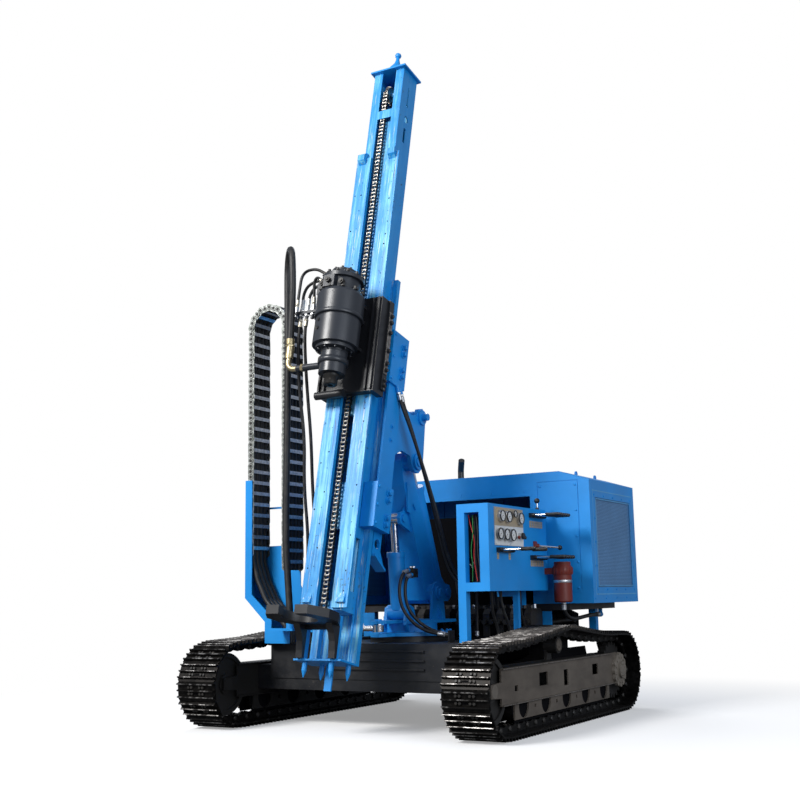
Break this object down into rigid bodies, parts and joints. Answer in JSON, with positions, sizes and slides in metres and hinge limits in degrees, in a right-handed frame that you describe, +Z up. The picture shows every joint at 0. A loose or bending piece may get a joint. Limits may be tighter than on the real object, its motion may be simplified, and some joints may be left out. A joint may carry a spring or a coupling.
{
  "type": "crawler pile driving rig",
  "caption": "Crawler pile driving and drilling rig: leaning box mast with power head and chain feed on a boom, hose chain, side control console, rear engine hood, steel tracks.",
  "frame": {"origin": "centre of the bounding box's footprint, on the ground under the tracks", "axes": "+Z up, -Y the front where the mast stands, +X the machine's left, the console's side"},
  "size_m": [2.45, 3.2589, 5.2567],
  "materials": {
    "black_paint": "semi-gloss paint, dusty",
    "blue_paint": "gloss paint, chipped at edges",
    "chrome": "polished",
    "frame_steel": "paint under dried mud",
    "hose_rubber": "matt",
    "primer_paint": "red-brown paint",
    "track_steel": "dark oxide with bright worn ridges",
    "worn_steel": "worn",
    "zinc_steel": "zinc plated"
  },
  "bodies": {
    "chassis": {"track_left": "track_steel", "track_right": "track_steel", "track_frame_left": "frame_steel", "track_frame_right": "frame_steel", "idler_left": "frame_steel", "idler_right": "frame_steel", "sprocket_left": "frame_steel", "sprocket_right": "frame_steel", "front_axle": "black_paint", "rear_axle": "black_paint", "carbody": "black_paint", "deck": "black_paint", "hood_base": "blue_paint", "hood_roof": "blue_paint", "hood_side_left": "blue_paint", "hood_side_right": "blue_paint", "grille_left": "blue_paint", "grille_right": "blue_paint", "hood_front": "blue_paint", "hood_rear": "blue_paint", "hood_floor": "black_paint", "engine": "black_paint", "exhaust": "blue_paint", "access_panel": "blue_paint", "console_frame": "blue_paint", "console_panel": "blue_paint", "gauges": "zinc_steel", "levers": "black_paint", "canister": "primer_paint", "hose_tower": "blue_paint", "chain_loop": "zinc_steel", "chain_hoses": "hose_rubber", "console_hoses": "hose_rubber", "return_hose": "hose_rubber", "swing_barrel": "blue_paint"},
    "swing_table": {"turret": "blue_paint"},
    "swing_rod": {"swing_rod": "chrome"},
    "boom": {"boom": "blue_paint"},
    "lift_barrel": {"lift_barrel": "blue_paint", "valve_hose_1": "hose_rubber", "valve_hose_2": "hose_rubber"},
    "lift_rod": {"lift_rod": "chrome"},
    "mast_carrier": {"carrier": "blue_paint", "carrier_hose_1": "hose_rubber", "carrier_hose_2": "hose_rubber"},
    "tilt_barrel": {"tilt_barrel": "blue_paint"},
    "tilt_rod": {"tilt_rod": "chrome"},
    "mast": {"mast_box": "blue_paint", "front_rails": "blue_paint", "feed_chain": "worn_steel", "mast_top": "blue_paint", "mast_foot": "blue_paint", "pile_guide": "black_paint"},
    "head_carriage": {"carriage": "black_paint", "power_head": "black_paint", "head_hoses": "hose_rubber", "sheath_hose": "hose_rubber", "feed_hose_1": "hose_rubber", "feed_hose_2": "hose_rubber"},
    "drive_spindle": {"spindle": "worn_steel"}
  },
  "joints": [
    {"name": "boom_swing", "type": "hinge", "parent": "chassis", "child": "swing_table", "pos_m": [0, -0.07, 0.63], "axis": [0, 0, 1], "range_deg": [-15, 15]},
    {"name": "swing_rod_slide", "type": "slide", "parent": "chassis", "child": "swing_rod", "axis": [1, 0, 0], "range_m": [-0.15, 0.15]},
    {"name": "boom_lift", "type": "hinge", "parent": "swing_table", "child": "boom", "pos_m": [0, 0.09, 0.925], "axis": [1, 0, 0], "range_deg": [-8, 25]},
    {"name": "lift_barrel_turn", "type": "hinge", "parent": "swing_table", "child": "lift_barrel", "pos_m": [0, -0.21, 0.79], "axis": [1, 0, 0], "range_deg": [-10, 25], "deforming": ["valve_hose_1", "valve_hose_2"]},
    {"name": "lift_rod_slide", "type": "slide", "parent": "lift_barrel", "child": "lift_rod", "axis": [0, -0.0873, 0.9962], "range_m": [-0.2, 0.1]},
    {"name": "mast_tilt", "type": "hinge", "parent": "boom", "child": "mast_carrier", "pos_m": [0, -0.24, 1.89], "axis": [-1, 0, 0], "range_deg": [-15, 77], "deforming": ["carrier_hose_1", "carrier_hose_2"]},
    {"name": "tilt_barrel_turn", "type": "hinge", "parent": "boom", "child": "tilt_barrel", "pos_m": [0, 0.35, 0.93], "axis": [-1, 0, 0], "range_deg": [-10, 20]},
    {"name": "tilt_rod_slide", "type": "slide", "parent": "tilt_barrel", "child": "tilt_rod", "axis": [0, -0.3652, 0.9309], "range_m": [-0.45, 0.12]},
    {"name": "mast_slide", "type": "slide", "parent": "mast_carrier", "child": "mast", "axis": [0, 0.225, 0.9744], "range_m": [-0.4, 0.3]},
    {"name": "head_feed", "type": "slide", "parent": "mast", "child": "head_carriage", "axis": [0, 0.225, 0.9744], "range_m": [-1.2, 1.2], "deforming": ["sheath_hose", "feed_hose_1", "feed_hose_2"]},
    {"name": "spindle_spin", "type": "hinge", "parent": "head_carriage", "child": "drive_spindle", "pos_m": [0, -1.10769, 2.35657], "axis": [0, 0.225, 0.9744], "continuous": true}
  ],
  "couplings": [
    {"joint": "swing_rod_slide", "follows": "boom_swing", "m_per_rad": 0.4368},
    {"joint": "lift_barrel_turn", "follows": "boom_lift", "ratio": 0.9024},
    {"joint": "lift_rod_slide", "follows": "boom_lift", "m_per_rad": -0.3123},
    {"joint": "tilt_barrel_turn", "follows": "mast_tilt", "ratio": 0.1204},
    {"joint": "tilt_rod_slide", "follows": "mast_tilt", "m_per_rad": -0.2802}
  ]
}
